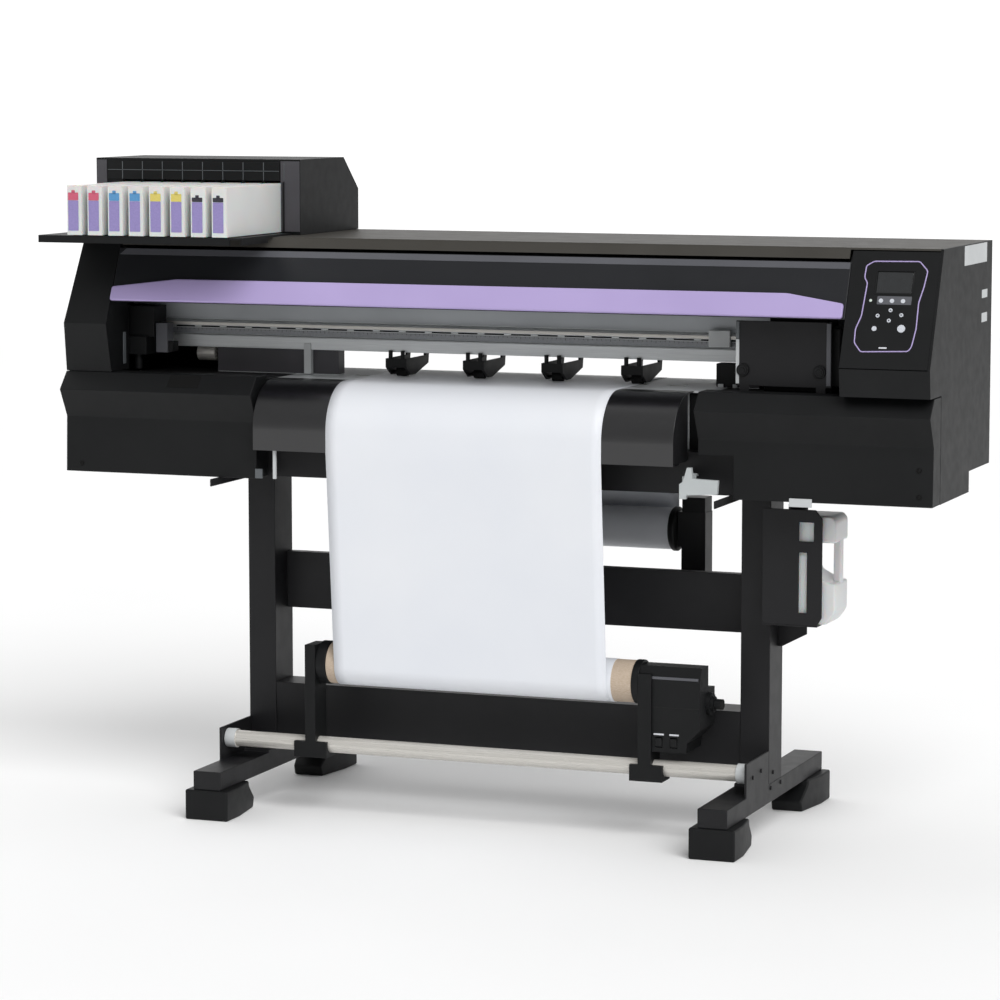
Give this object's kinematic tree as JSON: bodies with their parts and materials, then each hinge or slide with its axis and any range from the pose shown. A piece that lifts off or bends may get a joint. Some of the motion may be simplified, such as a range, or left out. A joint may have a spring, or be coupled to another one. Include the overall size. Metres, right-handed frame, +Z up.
{
  "type": "printer cutter",
  "caption": "Floor-standing roll-fed printer and cutter: a long body with a lift-up front cover, an ink rack on top, a film path over a curved guide and a take-up unit below.",
  "frame": {"origin": "middle of the footprint, on the floor", "axes": "+X along the body to the operator's right, +Y to the rear, +Z up"},
  "size_m": [1.918, 0.7, 1.384],
  "materials": {
    "black_paint": "satin powder coat",
    "roof_paint": "satin powder coat",
    "black_plastic": "fine texture",
    "gloss_black": "semi-gloss",
    "lavender_trim": "satin",
    "grey_stripe": "gloss",
    "aluminium": "anodised",
    "bright_steel": "polished",
    "film": "semi-gloss",
    "core_board": "matte",
    "rubber": "matte",
    "grey_plastic": "satin",
    "bottle_plastic": "translucent",
    "circuit_board": "satin",
    "belt_and_motor": "satin",
    "ink_case": "satin",
    "ink_label": "semi-gloss",
    "key_cap": "satin",
    "display": "gloss"
  },
  "bodies": {
    "chassis": {"legs": "black_paint", "feet": "black_paint", "foot_pads": "black_plastic", "rear_beam": "black_paint", "front_beam": "black_paint", "carrier_tube": "bright_steel", "bed_frame": "black_paint", "platen": "aluminium", "media_guide": "gloss_black", "left_lower_cover": "black_plastic", "right_lower_cover": "black_plastic", "left_side_cover": "black_plastic", "right_side_cover": "black_plastic", "top_cover": "roof_paint", "rear_cover": "black_plastic", "control_panel": "black_plastic", "y_bar": "aluminium", "belt_drive": "belt_and_motor", "station_panel": "black_paint", "cap_station": "black_plastic", "ink_tower": "black_plastic", "cartridge_tray": "black_plastic", "waste_guard": "black_paint", "roll_holders": "black_paint", "electronics": "circuit_board", "takeup_drive": "black_plastic", "media_web": "film"},
    "takeup_spindle": {"drive_hub": "black_plastic", "takeup_core": "core_board"},
    "pinch_lift": {"pinch_arms": "black_plastic"},
    "pinch_wheels": {"pinch_rollers": "rubber"},
    "front_cover": {"front_cover": "gloss_black"},
    "print_carriage": {"print_carriage": "black_plastic"},
    "cutter_carriage": {"cutter_carriage": "black_plastic"},
    "clamp_lever": {"clamp_lever": "grey_plastic"},
    "grit_roller": {"grit_roller": "bright_steel"},
    "left_hub": {"left_hub": "black_plastic"},
    "left_takeup_arm": {"left_takeup_arm": "black_plastic"},
    "torque_nut": {"torque_nut": "black_plastic"},
    "direction_switch": {"direction_switch": "black_plastic"},
    "takeup_switch": {"takeup_switch": "black_plastic"},
    "supply_roll": {"supply_roll": "film"},
    "waste_bottle": {"waste_bottle": "bottle_plastic"},
    "cartridge_1": {"cartridge_1": "ink_case"},
    "cartridge_2": {"cartridge_2": "ink_case"},
    "cartridge_3": {"cartridge_3": "ink_case"},
    "cartridge_4": {"cartridge_4": "ink_case"},
    "cartridge_5": {"cartridge_5": "ink_case"},
    "cartridge_6": {"cartridge_6": "ink_case"},
    "cartridge_7": {"cartridge_7": "ink_case"},
    "cartridge_8": {"cartridge_8": "ink_case"},
    "key_left_function": {"key_left_function": "key_cap"},
    "key_middle_function": {"key_middle_function": "key_cap"},
    "key_right_function": {"key_right_function": "key_cap"},
    "key_up": {"key_up": "key_cap"},
    "key_down": {"key_down": "key_cap"},
    "key_left": {"key_left": "key_cap"},
    "key_right": {"key_right": "key_cap"},
    "key_end": {"key_end": "key_cap"},
    "key_enter": {"key_enter": "key_cap"}
  },
  "joints": [
    {"name": "cover_hinge", "type": "hinge", "parent": "chassis", "child": "front_cover", "pos_m": [0, -0.134, 1.204], "axis": [-1, 0, 0], "range_deg": [0, 48]},
    {"name": "print_slide", "type": "slide", "parent": "chassis", "child": "print_carriage", "axis": [1, 0, 0], "range_m": [-1.3, 0]},
    {"name": "cutter_slide", "type": "slide", "parent": "chassis", "child": "cutter_carriage", "axis": [1, 0, 0], "range_m": [0, 1.29]},
    {"name": "clamp_turn", "type": "hinge", "parent": "chassis", "child": "clamp_lever", "pos_m": [0.448, -0.172, 0.75], "axis": [-1, 0, 0], "range_deg": [0, 45]},
    {"name": "pinch_raise", "type": "hinge", "parent": "chassis", "child": "pinch_lift", "pos_m": [0, 0.088, 1.004], "axis": [-1, 0, 0], "range_deg": [0, 6]},
    {"name": "grit_spin", "type": "hinge", "parent": "chassis", "child": "grit_roller", "pos_m": [0, 0.005, 0.9109], "axis": [1, 0, 0], "continuous": true},
    {"name": "pinch_spin", "type": "hinge", "parent": "pinch_lift", "child": "pinch_wheels", "pos_m": [0, 0.005, 0.933], "axis": [1, 0, 0], "continuous": true},
    {"name": "takeup_spin", "type": "hinge", "parent": "chassis", "child": "takeup_spindle", "pos_m": [0, -0.16, 0.322], "axis": [1, 0, 0], "continuous": true},
    {"name": "left_arm_slide", "type": "slide", "parent": "chassis", "child": "left_takeup_arm", "axis": [-1, 0, 0], "range_m": [0, 0.115]},
    {"name": "left_hub_spin", "type": "hinge", "parent": "left_takeup_arm", "child": "left_hub", "pos_m": [-0.4, -0.16, 0.322], "axis": [1, 0, 0], "continuous": true},
    {"name": "torque_turn", "type": "hinge", "parent": "chassis", "child": "torque_nut", "pos_m": [0.49, -0.14, 0.281], "axis": [1, 0, 0], "range_deg": [0, 360]},
    {"name": "direction_turn", "type": "hinge", "parent": "chassis", "child": "direction_switch", "pos_m": [0.388, -0.197, 0.205], "axis": [1, 0, 0], "range_deg": [-10, 10]},
    {"name": "takeup_turn", "type": "hinge", "parent": "chassis", "child": "takeup_switch", "pos_m": [0.42, -0.197, 0.205], "axis": [1, 0, 0], "range_deg": [-10, 10]},
    {"name": "supply_spin", "type": "hinge", "parent": "chassis", "child": "supply_roll", "pos_m": [0, 0.225, 0.592], "axis": [1, 0, 0], "continuous": true},
    {"name": "bottle_slide", "type": "slide", "parent": "chassis", "child": "waste_bottle", "axis": [1, 0, 0], "range_m": [0, 0.18]},
    {"name": "cartridge_1_slide", "type": "slide", "parent": "chassis", "child": "cartridge_1", "axis": [0, -1, 0], "range_m": [0, 0.11]},
    {"name": "cartridge_2_slide", "type": "slide", "parent": "chassis", "child": "cartridge_2", "axis": [0, -1, 0], "range_m": [0, 0.11]},
    {"name": "cartridge_3_slide", "type": "slide", "parent": "chassis", "child": "cartridge_3", "axis": [0, -1, 0], "range_m": [0, 0.11]},
    {"name": "cartridge_4_slide", "type": "slide", "parent": "chassis", "child": "cartridge_4", "axis": [0, -1, 0], "range_m": [0, 0.11]},
    {"name": "cartridge_5_slide", "type": "slide", "parent": "chassis", "child": "cartridge_5", "axis": [0, -1, 0], "range_m": [0, 0.11]},
    {"name": "cartridge_6_slide", "type": "slide", "parent": "chassis", "child": "cartridge_6", "axis": [0, -1, 0], "range_m": [0, 0.11]},
    {"name": "cartridge_7_slide", "type": "slide", "parent": "chassis", "child": "cartridge_7", "axis": [0, -1, 0], "range_m": [0, 0.11]},
    {"name": "cartridge_8_slide", "type": "slide", "parent": "chassis", "child": "cartridge_8", "axis": [0, -1, 0], "range_m": [0, 0.11]},
    {"name": "key_left_function_press", "type": "slide", "parent": "chassis", "child": "key_left_function", "axis": [0, 0.9163, -0.4004], "range_m": [0, 0.0008], "stiffness_N_per_m": 300, "springref_m": -0.0004},
    {"name": "key_middle_function_press", "type": "slide", "parent": "chassis", "child": "key_middle_function", "axis": [0, 0.9163, -0.4004], "range_m": [0, 0.0008], "stiffness_N_per_m": 300, "springref_m": -0.0004},
    {"name": "key_right_function_press", "type": "slide", "parent": "chassis", "child": "key_right_function", "axis": [0, 0.9163, -0.4004], "range_m": [0, 0.0008], "stiffness_N_per_m": 300, "springref_m": -0.0004},
    {"name": "key_up_press", "type": "slide", "parent": "chassis", "child": "key_up", "axis": [0, 0.9163, -0.4004], "range_m": [0, 0.0008], "stiffness_N_per_m": 300, "springref_m": -0.0004},
    {"name": "key_down_press", "type": "slide", "parent": "chassis", "child": "key_down", "axis": [0, 0.9163, -0.4004], "range_m": [0, 0.0008], "stiffness_N_per_m": 300, "springref_m": -0.0004},
    {"name": "key_left_press", "type": "slide", "parent": "chassis", "child": "key_left", "axis": [0, 0.9163, -0.4004], "range_m": [0, 0.0008], "stiffness_N_per_m": 300, "springref_m": -0.0004},
    {"name": "key_right_press", "type": "slide", "parent": "chassis", "child": "key_right", "axis": [0, 0.9163, -0.4004], "range_m": [0, 0.0008], "stiffness_N_per_m": 300, "springref_m": -0.0004},
    {"name": "key_end_press", "type": "slide", "parent": "chassis", "child": "key_end", "axis": [0, 0.9163, -0.4004], "range_m": [0, 0.0008], "stiffness_N_per_m": 300, "springref_m": -0.0004},
    {"name": "key_enter_press", "type": "slide", "parent": "chassis", "child": "key_enter", "axis": [0, 0.9163, -0.4004], "range_m": [0, 0.0008], "stiffness_N_per_m": 300, "springref_m": -0.0004}
  ],
  "couplings": [
    {"joint": "pinch_raise", "follows": "clamp_turn", "ratio": 0.1333},
    {"joint": "pinch_spin", "follows": "grit_spin", "ratio": -1.1},
    {"joint": "left_hub_spin", "follows": "takeup_spin", "ratio": 1}
  ]
}
